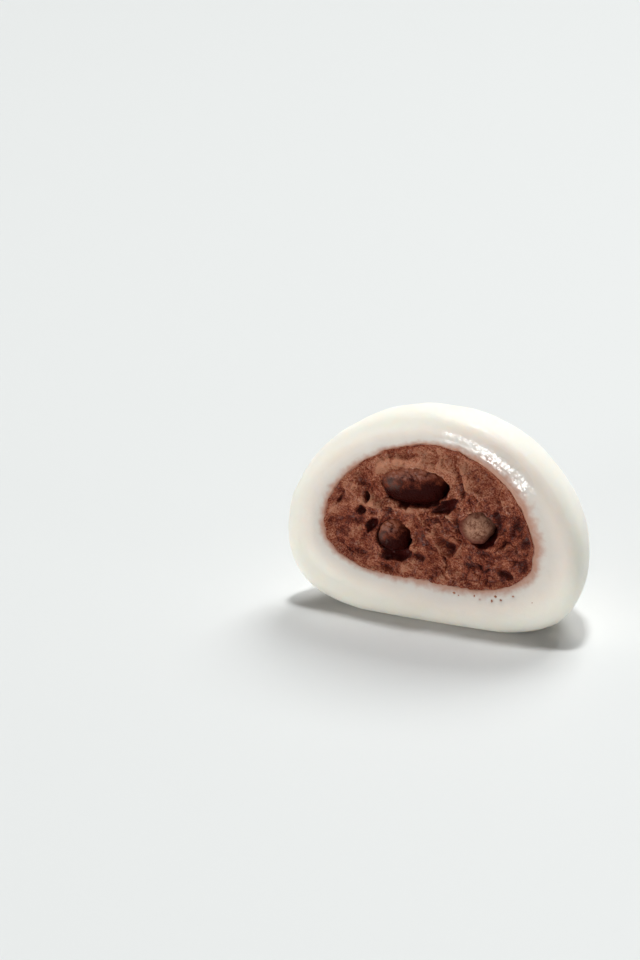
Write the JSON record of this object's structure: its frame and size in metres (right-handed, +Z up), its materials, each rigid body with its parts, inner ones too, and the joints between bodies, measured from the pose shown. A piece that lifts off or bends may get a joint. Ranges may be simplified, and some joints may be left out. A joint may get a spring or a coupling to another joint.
{
  "type": "mochi rice cake half",
  "caption": "Half of a round filled rice cake standing on its flat base, its cut face showing soft rice dough around coarse bean paste with whole beans.",
  "frame": {"origin": "middle of the bounding box, on the flat base", "axes": "+Z up, +X along the lower edge of the cut, +Y from the cut face into the dome, so the cut faces -Y"},
  "size_m": [0.0593, 0.0306, 0.0411],
  "materials": {
    "rice_dough": "soft cooked rice dough, lightly starched outside and moist round the filling",
    "bean_paste": "coarse moist sweet bean paste",
    "bean_skin": "dark red boiled bean skin, moist",
    "bean_flesh": "pale floury bean flesh"
  },
  "bodies": {
    "root": {"rice_dough": "rice_dough", "bean_paste": "bean_paste", "bean_upper": "bean_skin", "bean_lower": "bean_skin", "bean_right": "bean_flesh"}
  },
  "joints": []
}
